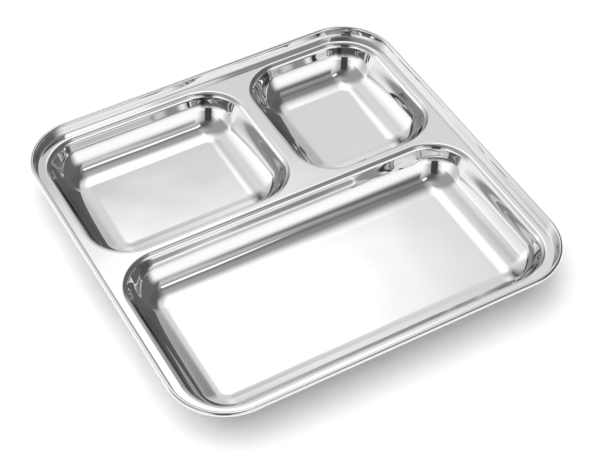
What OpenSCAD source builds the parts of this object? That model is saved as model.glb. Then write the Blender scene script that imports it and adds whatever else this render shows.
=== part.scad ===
// Divided compartment plate: one large and two smaller wells pressed into a square tray
// The frame has its origin on the table under the middle of the plate, with +Z up
// The large well lies along -Y, the medium well behind it on -X and the small one on +X

/* [Plate] */
// Width and depth of the plate over its rolled edge
plate_size = 230; // [200:1:300]
// Radius of the plate's corners, seen from above
plate_corner_r = 33; // [30:0.5:36]
// Thickness of the pressed steel sheet
sheet = 0.6; // [0.5:0.05:0.8]

/* [Rim] */
// Height of the rim's crest above the deck
rim_rise = 5.95; // [5:0.05:8]
// Radius of the rolled edge
bead_r = 1.35; // [1.1:0.05:1.7]
// How far round the edge is rolled
bead_wrap = 280; // [230:1:290]
// Slope of the rim's inner wall from level
rim_slope = 79.5; // [74:0.5:84]
// Radius between the rim's wall and the deck
rim_fillet_r = 1; // [0.7:0.05:1.5]

/* [Deck] */
// Flat width between the rim's fillet and each well
deck_margin = 3.2; // [2.5:0.1:6]
// Flat width of the divider between the medium and small wells
short_divider = 4.7; // [3:0.1:8]
// Flat width of the divider along the large well
long_divider = 1.6; // [1.2:0.1:8]

/* [Wells] */
// Depth of the large well, front to back at the deck
large_well_y = 114.8; // [90:0.1:120]
// Width of the small well at the deck
small_well_x = 86.5; // [75:0.1:95]
// Radius of the wells' corners at the deck
well_corner_r = 26.2; // [25.5:0.1:28]
// Radius of the flat floors' corners
floor_corner_r = 1.7; // [0.5:0.1:2]
// Depth of the wells below the deck
well_depth = 18.7; // [18:0.1:20]
// Radius that rolls from the deck into a well
mouth_r = 3.6; // [3.2:0.1:4]
// Slope of the straight part of a well's wall, from level
well_slope = 67.5; // [66:0.5:69]
// Radius that eases the wall from its straight part
wall_ease_r = 26.5; // [24:0.5:27.5]
// Slope where the ease meets the tighter fillet
ease_slope = 49.5; // [47:0.5:53]
// Radius of the fillet between a wall and its floor
floor_fillet_r = 16.6; // [15:0.1:18]
// Slope where the fillet opens into a wider blend with the floor
floor_blend_slope = 13; // [11:0.5:16]

/* [Hidden] */

// Colour of the bare polished sheet
steel = "silver";
// Facets to a full turn of the plan's corners
corner_facets = 120;
// Most that one facet of a bend turns, in the wells and on the small rolled edge
well_step = 6;
edge_step = 20;
// Flat strip that a bent region keeps beside a flat one
lip = 0.3;
// Length of rim wall that stays with the rolled edge
bead_tail = 0.7;
// Grid that the joints between the regions are set to
grid = 0.01;

quarter = 90;

function snap(v) = round(v / grid) * grid;
function along(a) = [cos(a), sin(a)];
function square_to(a) = [-sin(a), cos(a)];

// Heights of the sheet's upper face
floor_top = sheet;
deck_top = floor_top + well_depth;
crest_top = deck_top + rim_rise;

// Rim section: x runs inwards from the plate's outer edge, and y is height
bead_at = [bead_r, crest_top - bead_r];
rim_head = bead_at + bead_r * square_to(-rim_slope);
tail_end = rim_head + bead_tail * along(-rim_slope);
rim_fillet_drop = rim_fillet_r * (1 - cos(rim_slope));
rim_wall_len = (rim_head[1] - deck_top - rim_fillet_drop) / sin(rim_slope);
rim_fillet_run = rim_fillet_r * sin(rim_slope);
rim_fillet_end = rim_head[0] + rim_wall_len * cos(rim_slope) + rim_fillet_run;
rim_run = snap(rim_fillet_end + lip);
curl_start = bead_wrap - rim_slope;

// Well section: x runs inwards from the outline cut in the deck
cut_r = well_corner_r + lip;
well_run = snap(cut_r - floor_corner_r);
mouth_drop = mouth_r * (1 - cos(well_slope));
mouth_run = mouth_r * sin(well_slope);
ease_drop = wall_ease_r * (cos(ease_slope) - cos(well_slope));
ease_run = wall_ease_r * (sin(well_slope) - sin(ease_slope));
fillet_drop = floor_fillet_r * (cos(floor_blend_slope) - cos(ease_slope));
fillet_run = floor_fillet_r * (sin(ease_slope) - sin(floor_blend_slope));

// The straight wall and the wide blend share the drop and the run that are left
left_drop = well_depth - mouth_drop - ease_drop - fillet_drop;
left_run = well_run - 2 * lip - mouth_run - ease_run - fillet_run;
unit_drop = 1 - cos(floor_blend_slope);
unit_run = sin(floor_blend_slope);
lead = sin(well_slope) * unit_run - cos(well_slope) * unit_drop;
wall_len = (left_drop * unit_run - left_run * unit_drop) / lead;
floor_blend_r = (sin(well_slope) * left_run - cos(well_slope) * left_drop) / lead;

// Plan of the deck and of the three outlines cut in it, each [left, front, right, back]
deck_half = plate_size / 2 - rim_run;
deck_r = plate_corner_r - rim_run;
cut_half = snap(deck_half - deck_margin + 2 * lip);
large_back = snap(-cut_half + large_well_y + 2 * lip);
rear_front = snap(large_back + long_divider - 2 * lip);
small_left = snap(cut_half - small_well_x - 2 * lip);
medium_right = snap(small_left - short_divider + 2 * lip);
large_cut = [-cut_half, -cut_half, cut_half, large_back];
medium_cut = [-cut_half, rear_front, medium_right, cut_half];
small_cut = [small_left, rear_front, cut_half, cut_half];

function mid(box) = [(box[0] + box[2]) / 2, (box[1] + box[3]) / 2];
function span(box) = [box[2] - box[0], box[3] - box[1]];
function inset(box, by) = [box[0] + by, box[1] + by, box[2] - by, box[3] - by];

// Where a move of a section ends: straight if it has no turn, and else round a radius
function ahead(at, heading, size, turn) =
    turn == 0 ? at + size * along(heading) :
    at + sign(turn) * size * (square_to(heading) - square_to(heading + turn));

// Places along the sheet's upper face, each [point, heading]: a move [length] runs straight
// and a move [radius, turn] bends, up for a turn above zero and down below it
function trace(moves, at, heading, step, i = 0) =
    i == len(moves) ? [[at, heading]] :
    let (
        size = moves[i][0],
        turn = len(moves[i]) == 2 ? moves[i][1] : 0,
        count = max(1, ceil(abs(turn) / step)),
        rest = trace(moves, ahead(at, heading, size, turn), heading + turn, step, i + 1)
    )
    concat(
        [[at, heading]],
        [for (k = [1:1:count - 1]) [ahead(at, heading, size, turn * k / count), heading + turn * k / count]],
        rest
    );

// The sheet in section, drawn along its moves
module section(moves, at, heading, step) {
    path = trace(moves, at, heading, step);
    last = len(path) - 1;
    upper = [for (p = path) p[0]];
    lower = [for (i = [last:-1:0]) path[i][0] - sheet * square_to(path[i][1])];
    polygon(concat(upper, lower));
}

// Sweeps a section round a rounded outline, with the section's x running inwards from it
module sweep(box, r) {
    size = span(box);
    reach = [size[0] / 2 - r, size[1] / 2 - r];
    translate(concat(mid(box), 0)) {
        for (i = [0:3]) {
            sx = (i == 0 || i == 3) ? 1 : -1;
            sy = (i < 2) ? 1 : -1;
            translate([sx * reach[0], sy * reach[1], 0])
                rotate([0, 0, i * quarter])
                    rotate_extrude(angle = quarter, $fn = corner_facets)
                        translate([r, 0]) mirror([1, 0]) children();
            along = (i % 2 == 0) ? 1 : 0;
            rotate([0, 0, i * quarter])
                translate([size[1 - along] / 2, 0, 0])
                    rotate([quarter, 0, 0])
                        linear_extrude(height = 2 * reach[along], center = true)
                            mirror([1, 0]) children();
        }
    }
}

// Flat rounded rectangle with its lower left corner at the start of the box
module rounded(box, r) {
    size = span(box);
    translate([box[0], box[1] + r]) square([size[0], size[1] - 2 * r]);
    translate([box[0] + r, box[1]]) square([size[0] - 2 * r, size[1]]);
    for (x = [box[0] + r, box[2] - r])
        for (y = [box[1] + r, box[3] - r])
            translate([x, y]) circle(r, $fn = corner_facets);
}

plate_box = [-plate_size / 2, -plate_size / 2, plate_size / 2, plate_size / 2];

// The sheet's edge, rolled outwards and under, with the head of the rim's wall
module rolled_edge() {
    start = bead_at + bead_r * square_to(curl_start);
    color(steel) sweep(plate_box, plate_corner_r)
        section([[bead_r, -bead_wrap], [bead_tail]], start, curl_start, edge_step);
}

// The steep wall that stands round the deck, with its fillet
module rim_wall() {
    foot = [[rim_wall_len - bead_tail], [rim_fillet_r, rim_slope], [rim_run - rim_fillet_end]];
    color(steel) sweep(plate_box, plate_corner_r)
        section(foot, tail_end, -rim_slope, edge_step);
}

// The flat web round the wells, with the two dividers
module deck() {
    deck_box = [-deck_half, -deck_half, deck_half, deck_half];
    color(steel) translate([0, 0, deck_top - sheet]) linear_extrude(height = sheet)
        difference() {
            rounded(deck_box, deck_r);
            rounded(large_cut, cut_r);
            rounded(medium_cut, cut_r);
            rounded(small_cut, cut_r);
        }
}

// The wall of a well, from the deck down to its floor
module well_wall(cut) {
    mouth = [[lip], [mouth_r, -well_slope], [wall_len], [wall_ease_r, well_slope - ease_slope]];
    fillet = [floor_fillet_r, ease_slope - floor_blend_slope];
    foot = [fillet, [floor_blend_r, floor_blend_slope], [lip]];
    color(steel) sweep(cut, cut_r)
        section(concat(mouth, foot), [0, deck_top], 0, well_step);
}

// The flat floor of a well
module well_floor(cut)
    color(steel) linear_extrude(height = sheet)
        rounded(inset(cut, well_run), cut_r - well_run);

module large_well_wall() well_wall(large_cut);
module large_well_floor() well_floor(large_cut);
module medium_well_wall() well_wall(medium_cut);
module medium_well_floor() well_floor(medium_cut);
module small_well_wall() well_wall(small_cut);
module small_well_floor() well_floor(small_cut);

rolled_edge();
rim_wall();
deck();
large_well_wall();
large_well_floor();
medium_well_wall();
medium_well_floor();
small_well_wall();
small_well_floor();
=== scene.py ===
from math import cos, pi, radians, sin

import bmesh
import bpy
from mathutils import Matrix, Vector


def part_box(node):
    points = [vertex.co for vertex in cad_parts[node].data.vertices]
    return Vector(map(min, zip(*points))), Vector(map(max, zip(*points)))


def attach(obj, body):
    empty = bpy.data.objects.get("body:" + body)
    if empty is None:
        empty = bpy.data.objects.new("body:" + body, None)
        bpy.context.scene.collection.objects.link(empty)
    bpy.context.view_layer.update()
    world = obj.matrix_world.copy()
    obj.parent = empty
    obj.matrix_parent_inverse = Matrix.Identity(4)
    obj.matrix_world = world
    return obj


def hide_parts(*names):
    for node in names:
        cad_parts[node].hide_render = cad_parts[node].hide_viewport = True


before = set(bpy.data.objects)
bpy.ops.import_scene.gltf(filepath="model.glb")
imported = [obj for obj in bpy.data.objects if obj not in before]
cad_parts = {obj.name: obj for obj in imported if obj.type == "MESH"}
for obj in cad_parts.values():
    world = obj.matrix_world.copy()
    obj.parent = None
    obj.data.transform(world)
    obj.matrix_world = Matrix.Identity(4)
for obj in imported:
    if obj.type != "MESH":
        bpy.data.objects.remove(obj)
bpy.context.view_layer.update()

MM = 0.001

# The section of the pressing, as the press makes it; its places and heights come from the frame
BEAD_R = 1.35 * MM
BEAD_WRAP = radians(280)
BEAD_TAIL = 0.7 * MM
RIM_SLOPE = radians(79.5)
RIM_FILLET_R = 1 * MM
LIP = 0.3 * MM
MOUTH_R = 3.6 * MM
WELL_SLOPE = radians(67.5)
WALL_EASE_R = 26.5 * MM
EASE_SLOPE = radians(49.5)
FLOOR_FILLET_R = 16.6 * MM
FLOOR_BLEND_SLOPE = radians(13)
PLATE_CORNER_R = 33 * MM
WELL_CORNER_R = 26.2 * MM

# Fineness of the mesh: the turn of one facet in a bend or a corner, and its length on a straight
BEND_STEP = radians(3)
BEAD_STEP = radians(8)
CORNER_STEP = radians(2.5)
FLAT_STEP = 1.8 * MM
SIDE_STEP = 8 * MM
SHARP = radians(35)
SAME_PLACE = 0.002 * MM

QUARTER = pi / 2


def heading_of(angle):
    """The way a section runs, in the plane of x and z."""
    return Vector((cos(angle), 0, sin(angle)))


def square_to(angle):
    """A quarter turn up from the way a section runs."""
    return Vector((-sin(angle), 0, cos(angle)))


def facets(size, step):
    """How many facets a length or a turn takes."""
    return max(1, round(abs(size) / step))


class Sheet:
    """A strip of the sheet: a section grows move by move, and is then swept round an outline."""

    def __init__(self, start, heading=0, bend_step=BEND_STEP):
        self.mesh = bmesh.new()
        self.tip = [self.mesh.verts.new(start)]
        self.heading = heading
        self.bend_step = bend_step

    def grow(self, parts, count, kind, turn=0, centre=(0, 0, 0), axis=(0, 0, 1),
             move=(0, 0, 0)):
        """Spins or slides parts on in equal facets, and gives what they end in."""
        spun = bmesh.ops.spin(self.mesh, geom=parts, cent=centre, axis=axis, angle=turn, dvec=move,
                              steps=count, use_merge=False, use_duplicate=False)
        return [part for part in spun["geom_last"] if isinstance(part, kind)]

    def straight(self, length):
        """The section runs straight on."""
        count = facets(length, FLAT_STEP)
        move = heading_of(self.heading) * (length / count)
        self.tip = self.grow(self.tip, count, bmesh.types.BMVert, move=move)
        return self

    def bend(self, radius, turn):
        """The section bends round a radius, up for a turn above zero and down below it."""
        side = 1 if turn > 0 else -1
        centre = self.tip[0].co + side * radius * square_to(self.heading)
        self.tip = self.grow(self.tip, facets(turn, self.bend_step), bmesh.types.BMVert,
                             turn=turn, centre=centre, axis=(0, -1, 0))
        self.heading += turn
        return self

    def sweep(self, box, radius):
        """The section goes once round a rounded outline, with its x running inwards."""
        left, front, right, back = box
        place = Matrix.Translation((right, front + radius, 0)) @ Matrix.Rotation(pi, 4, "Z")
        bmesh.ops.transform(self.mesh, matrix=place, verts=self.mesh.verts)
        lengths = [back - front - 2 * radius, right - left - 2 * radius]
        centres = [(right - radius, back - radius), (left + radius, back - radius),
                   (left + radius, front + radius), (right - radius, front + radius)]
        kind = bmesh.types.BMEdge if self.mesh.edges else bmesh.types.BMVert
        rail = list(self.mesh.edges) or list(self.mesh.verts)
        for side, centre in enumerate(centres):
            length = lengths[side % 2]
            count = facets(length, SIDE_STEP)
            way = Matrix.Rotation(side * QUARTER, 3, "Z") @ Vector((0, length / count, 0))
            rail = self.grow(rail, count, kind, move=way)
            rail = self.grow(rail, facets(QUARTER, CORNER_STEP), kind, turn=QUARTER,
                             centre=(*centre, 0))
        bmesh.ops.remove_doubles(self.mesh, verts=self.mesh.verts, dist=SAME_PLACE)
        return self.mesh


def plan(node):
    """The outline of a node seen from above: left, front, right, back."""
    low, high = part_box(node)
    return low[0], low[1], high[0], high[1]


def top(node):
    """The height of a node's upper face."""
    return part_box(node)[1][2]


sheet = top("deck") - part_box("deck")[0][2]
deck_top = top("deck")
floor_top = top("large_well_floor")
crest_top = top("rolled_edge")
plate_plan = plan("rolled_edge")
deck_plan = plan("deck")
rim_run = plate_plan[2] - deck_plan[2]

WELLS = ["large_well", "medium_well", "small_well"]


def piece(mesh, name, node):
    """Gives a strip its thickness below the drawn face, and puts it in the scene by name."""
    bmesh.ops.recalc_face_normals(mesh, faces=mesh.faces)
    lift = sum(face.normal.z * face.calc_area() for face in mesh.faces)
    if lift < 0:
        bmesh.ops.reverse_faces(mesh, faces=mesh.faces)
    bmesh.ops.solidify(mesh, geom=mesh.faces, thickness=sheet)
    data = bpy.data.meshes.new(name)
    mesh.to_mesh(data)
    mesh.free()
    data.shade_smooth()
    data.set_sharp_from_angle(angle=SHARP)
    data.materials.append(STEEL)
    thing = bpy.data.objects.new(name, data)
    bpy.context.scene.collection.objects.link(thing)
    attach(thing, "root")
    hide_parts(node)


bead_at = Vector((BEAD_R, 0, crest_top - BEAD_R))
rim_head = bead_at + BEAD_R * square_to(-RIM_SLOPE)
rim_fillet_drop = RIM_FILLET_R * (1 - cos(RIM_SLOPE))
rim_wall_len = (rim_head.z - deck_top - rim_fillet_drop) / sin(RIM_SLOPE)
rim_fillet_end = rim_head.x + rim_wall_len * cos(RIM_SLOPE) + RIM_FILLET_R * sin(RIM_SLOPE)


def rolled_edge():
    """The cut edge, rolled outwards and under, with the head of the rim's wall."""
    start = bead_at + BEAD_R * square_to(BEAD_WRAP - RIM_SLOPE)
    strip = Sheet(start, BEAD_WRAP - RIM_SLOPE, BEAD_STEP)
    strip.bend(BEAD_R, -BEAD_WRAP).straight(BEAD_TAIL)
    piece(strip.sweep(plate_plan, PLATE_CORNER_R), "edge_roll", "rolled_edge")


def rim_wall():
    """The steep wall inside the rolled edge, with its fillet down to the deck."""
    strip = Sheet(rim_head + BEAD_TAIL * heading_of(-RIM_SLOPE), -RIM_SLOPE)
    strip.straight(rim_wall_len - BEAD_TAIL)
    strip.bend(RIM_FILLET_R, RIM_SLOPE).straight(rim_run - rim_fillet_end)
    piece(strip.sweep(plate_plan, PLATE_CORNER_R), "rim_upstand", "rim_wall")


def outline(box, radius, height):
    """A closed loop round a rounded outline."""
    return Sheet((0, 0, height)).sweep(box, radius)


def filled(mesh):
    """The flat face inside a mesh's loops."""
    bmesh.ops.triangle_fill(mesh, use_beauty=True, use_dissolve=False, edges=mesh.edges,
                            normal=(0, 0, 1))
    return mesh


def joined(loops):
    """Several meshes in one."""
    whole = bmesh.new()
    for loop in loops:
        data = bpy.data.meshes.new("loop")
        loop.to_mesh(data)
        loop.free()
        whole.from_mesh(data)
        bpy.data.meshes.remove(data)
    return whole


def deck():
    """The flat web round the wells."""
    loops = [outline(deck_plan, PLATE_CORNER_R - rim_run, deck_top)]
    loops += [outline(plan(f"{hollow}_wall"), WELL_CORNER_R + LIP, deck_top) for hollow in WELLS]
    piece(filled(joined(loops)), "deck_web", "deck")


def well(name):
    """One well: its wall from the deck down, and its flat floor."""
    side, floor = f"{name}_wall", f"{name}_floor"
    box, foot = plan(side), plan(floor)
    run = foot[0] - box[0]
    drop = deck_top - floor_top - MOUTH_R * (1 - cos(WELL_SLOPE))
    drop -= WALL_EASE_R * (cos(EASE_SLOPE) - cos(WELL_SLOPE))
    drop -= FLOOR_FILLET_R * (cos(FLOOR_BLEND_SLOPE) - cos(EASE_SLOPE))
    reach = run - 2 * LIP - MOUTH_R * sin(WELL_SLOPE)
    reach -= WALL_EASE_R * (sin(WELL_SLOPE) - sin(EASE_SLOPE))
    reach -= FLOOR_FILLET_R * (sin(EASE_SLOPE) - sin(FLOOR_BLEND_SLOPE))
    unit_drop, unit_run = 1 - cos(FLOOR_BLEND_SLOPE), sin(FLOOR_BLEND_SLOPE)
    lead = sin(WELL_SLOPE) * unit_run - cos(WELL_SLOPE) * unit_drop
    wall = (drop * unit_run - reach * unit_drop) / lead
    blend_r = (sin(WELL_SLOPE) * reach - cos(WELL_SLOPE) * drop) / lead
    strip = Sheet((0, 0, deck_top))
    strip.straight(LIP).bend(MOUTH_R, -WELL_SLOPE).straight(wall)
    strip.bend(WALL_EASE_R, WELL_SLOPE - EASE_SLOPE)
    strip.bend(FLOOR_FILLET_R, EASE_SLOPE - FLOOR_BLEND_SLOPE)
    strip.bend(blend_r, FLOOR_BLEND_SLOPE).straight(LIP)
    corner = WELL_CORNER_R + LIP
    piece(strip.sweep(box, corner), f"{name}_side", side)
    piece(filled(outline(foot, corner - run, floor_top)), f"{name}_bottom", floor)


class Value:
    """A shader socket that takes part in Python expressions."""

    def __init__(self, graph, socket):
        self.graph = graph
        self.socket = socket

    def maths(self, operation, *others):
        """One Math node, with this value as its first input."""
        inputs = dict(enumerate([self, *others]))
        return self.graph.node("ShaderNodeMath", {"operation": operation}, inputs)

    def __add__(self, other):
        return self.maths("ADD", other)

    __radd__ = __add__

    def __sub__(self, other):
        return self.maths("SUBTRACT", other)

    def __rsub__(self, other):
        return self.graph.node("ShaderNodeMath", {"operation": "SUBTRACT"}, {0: other, 1: self})

    def __mul__(self, other):
        return self.maths("MULTIPLY", other)

    __rmul__ = __mul__

    def __truediv__(self, other):
        return self.maths("DIVIDE", other)

    def larger(self, other):
        """The larger of this value and another."""
        return self.maths("MAXIMUM", other)


class Graph:
    """The node tree of a material or of the world."""

    def __init__(self, owner):
        owner.use_nodes = True
        self.tree = owner.node_tree
        self.tree.nodes.clear()

    def node(self, kind, settings=None, inputs=None, output=0):
        """Adds a node: its settings first, and then the values or links of its sockets."""
        made = self.tree.nodes.new(kind)
        for name, setting in (settings or {}).items():
            setattr(made, name, setting)
        for name, given in (inputs or {}).items():
            if isinstance(given, Value):
                self.tree.links.new(given.socket, made.inputs[name])
            else:
                made.inputs[name].default_value = given
        return Value(self, made.outputs[output]) if made.outputs else None

    def ramp(self, value, low, high, at_low, at_high):
        """Goes smoothly from one level to another while a value goes from low to high."""
        return self.node("ShaderNodeMapRange", {"interpolation_type": "SMOOTHSTEP"}, {
            "Value": value, "From Min": low, "From Max": high, "To Min": at_low, "To Max": at_high})


# The steel: its tone, the press's waves and the polishing wheel's haze
STEEL_TONE = 0.82
WAVES = {"Scale": 24.0, "Detail": 1.0, "Roughness": 0.4}
WAVE_HEIGHT = 0.6 * MM
WAVE_SHARE = 0.35
HAZE = {"Scale": 60.0, "Detail": 4.0, "Roughness": 0.6}
LEAST_ROUGH = 0.005
HAZE_ROUGH = 0.02


def polished_steel():
    """Bright pressed steel: a mirror with the press's faint waves and the wheel's haze."""
    material = bpy.data.materials.new("polished_steel")
    graph = Graph(material)
    place = graph.node("ShaderNodeTexCoord", output="Object")
    waves = graph.node("ShaderNodeTexNoise", {}, {"Vector": place, **WAVES})
    haze = graph.node("ShaderNodeTexNoise", {}, {"Vector": place, **HAZE})
    bump = graph.node("ShaderNodeBump", {}, {
        "Strength": WAVE_SHARE, "Distance": WAVE_HEIGHT, "Height": waves})
    shader = graph.node("ShaderNodeBsdfPrincipled", {}, {
        "Base Color": (STEEL_TONE, STEEL_TONE, STEEL_TONE, 1), "Metallic": 1.0,
        "Roughness": LEAST_ROUGH + HAZE_ROUGH * haze, "Normal": bump})
    graph.node("ShaderNodeOutputMaterial", {}, {"Surface": shader})
    return material


STEEL = polished_steel()

rolled_edge()
rim_wall()
deck()
for name in WELLS:
    well(name)

# The studio as the plate sees it. Each row names a light or card, and then gives in degrees its
# azimuth, from behind the plate towards its right, its elevation, its half width, its half height
# and the soft borders of its width and of its height, and last its level
STUDIO = [
    ("softbox behind", 25, 91, 9, 44, 12, 5, 1.40),
    ("strip behind", 11, 17, 11, 18, 15, 7, 1.36),
    ("dark gap behind", 5, 7, 9, 37, 26, 26, 0.02),
    ("white wall behind left", -47, 23, 10, 21, 26, 17, 1.31),
    ("white wall left", -114, 8, 19, 35, 26, 11, 1.27),
    ("grey edge left", -79, 64, 25, 32, 26, 3, 0.38),
    ("low grey left", -149, 4, 46, 5, 9, 26, 0.05),
    ("dark side right", 103, 30, 47, 30, 18, 9, 0.15),
    ("white front right", 174, 21, 28, 16, 26, 24, 1.19),
    ("dark round lamp", 147, 73, 55, 17, 4, 26, 0.12),
    ("lamp front right", 153, 64, 7, 3, 2, 4, 1.49),
    ("low light front", -150, 34, 18, 13, 26, 2, 0.48),
    ("dark horizon front", -144, 3, 59, 5, 2, 10, 0.08),
    ("camera stand", -146, 33, 10, 19, 4, 2, 0.06),
    ("camera", -161, -20, 7, 30, 7, 26, 0.02),
    ("low dark right", 132, -1, 25, 6, 5, 3, 0.02),
    ("overhead", 102, 82, 10, 12, 26, 26, 0.56),
]
ROOM_LOW = 0.65
ROOM_HIGH = 0.99
BACKGROUND = 1.0
LEAST_AHEAD = 0.002


def direction(azimuth, elevation):
    """The unit vector at an azimuth clockwise from +Y and an elevation, both in degrees."""
    a, e = radians(azimuth), radians(elevation)
    return Vector((sin(a) * cos(e), cos(a) * cos(e), sin(e)))


def studio():
    """A pale room with the lights and cards above the table, and plain white for the camera."""
    world = bpy.data.worlds.new("studio")
    bpy.context.scene.world = world
    graph = Graph(world)
    look = graph.node("ShaderNodeTexCoord", output="Generated")
    height = graph.node("ShaderNodeSeparateXYZ", {}, {"Vector": look}, output="Z")
    room = graph.ramp(height.maths("ARCSINE"), 0, QUARTER, ROOM_LOW, ROOM_HIGH)
    level = room
    for _, azimuth, elevation, half_wide, half_high, border_wide, border_high, strength in STUDIO:
        ahead = direction(azimuth, elevation)
        right = direction(azimuth + 90, 0)
        up = right.cross(ahead)
        depth, across, above = [
            graph.node("ShaderNodeVectorMath", {"operation": "DOT_PRODUCT"}, {0: look, 1: axis},
                       output="Value")
            for axis in (ahead, right, up)]
        mask = depth.maths("GREATER_THAN", LEAST_AHEAD)
        sides = ((across, half_wide, border_wide), (above, half_high, border_high))
        for offset, half, border in sides:
            angle = (offset / depth.larger(LEAST_AHEAD)).maths("ARCTANGENT").maths("ABSOLUTE")
            inner, outer = radians(half - border / 2), radians(half + border / 2)
            mask = mask * graph.ramp(angle, inner, outer, 1, 0)
        level = level + mask * (strength - level)
    level = room + height.maths("GREATER_THAN", 0.0) * (level - room)
    path = graph.node("ShaderNodeLightPath", output="Is Camera Ray")
    shown = level + path * (BACKGROUND - level)
    backdrop = graph.node("ShaderNodeBackground", {}, {"Color": shown, "Strength": 1.0})
    graph.node("ShaderNodeOutputWorld", {}, {"Surface": backdrop})


FLOOR_REACH = 3.0
FLOOR_TONE = 0.85


def white_floor():
    """A plain white table that keeps the plate's shadow."""
    data = bpy.data.meshes.new("floor")
    mesh = bmesh.new()
    bmesh.ops.create_grid(mesh, x_segments=1, y_segments=1, size=FLOOR_REACH)
    mesh.to_mesh(data)
    mesh.free()
    floor = bpy.data.objects.new("floor", data)
    bpy.context.scene.collection.objects.link(floor)
    material = bpy.data.materials.new("white_floor")
    graph = Graph(material)
    shader = graph.node("ShaderNodeBsdfPrincipled", {}, {
        "Base Color": (FLOOR_TONE, FLOOR_TONE, FLOOR_TONE, 1),
        "Roughness": 1.0, "Specular IOR Level": 0.0})
    graph.node("ShaderNodeOutputMaterial", {}, {"Surface": shader})
    data.materials.append(material)


KEY_AZIMUTH = -100
KEY_ELEVATION = 81
KEY_FAR = 1.5
KEY_SIZE = 2.2
KEY_POWER = 36.0


def key_lamp():
    """The wide soft light that casts the plate's shadow; the steel mirrors only the studio."""
    data = bpy.data.lights.new("key", "AREA")
    data.shape = "SQUARE"
    data.size = KEY_SIZE
    data.energy = KEY_POWER
    lamp = bpy.data.objects.new("key", data)
    ahead = direction(KEY_AZIMUTH, KEY_ELEVATION)
    turn = ahead.to_track_quat("Z", "Y").to_matrix().to_4x4()
    lamp.matrix_world = Matrix.Translation(KEY_FAR * ahead) @ turn
    lamp.visible_glossy = False
    bpy.context.scene.collection.objects.link(lamp)


CAMERA_AT = Vector((-0.2915, -0.5225, 0.6509))
CAMERA_AIM = Vector((-0.0097, -0.0239, 0.0239))
CAMERA_ROLL = radians(0.294)
SENSOR = 36.0
LENS = 95.73
SHIFT_X = 0.0066
NEAREST = 0.01


def camera():
    """The photograph's camera, above the front left of the plate."""
    data = bpy.data.cameras.new("camera")
    data.sensor_width = SENSOR
    data.lens = LENS
    data.shift_x = SHIFT_X
    data.clip_start = NEAREST
    eye = bpy.data.objects.new("camera", data)
    turn = (CAMERA_AIM - CAMERA_AT).to_track_quat("-Z", "Y").to_matrix().to_4x4()
    eye.matrix_world = Matrix.Translation(CAMERA_AT) @ turn @ Matrix.Rotation(CAMERA_ROLL, 4, "Z")
    bpy.context.scene.collection.objects.link(eye)
    bpy.context.scene.camera = eye


white_floor()
studio()
key_lamp()
camera()
bpy.context.scene.view_settings.view_transform = "Standard"
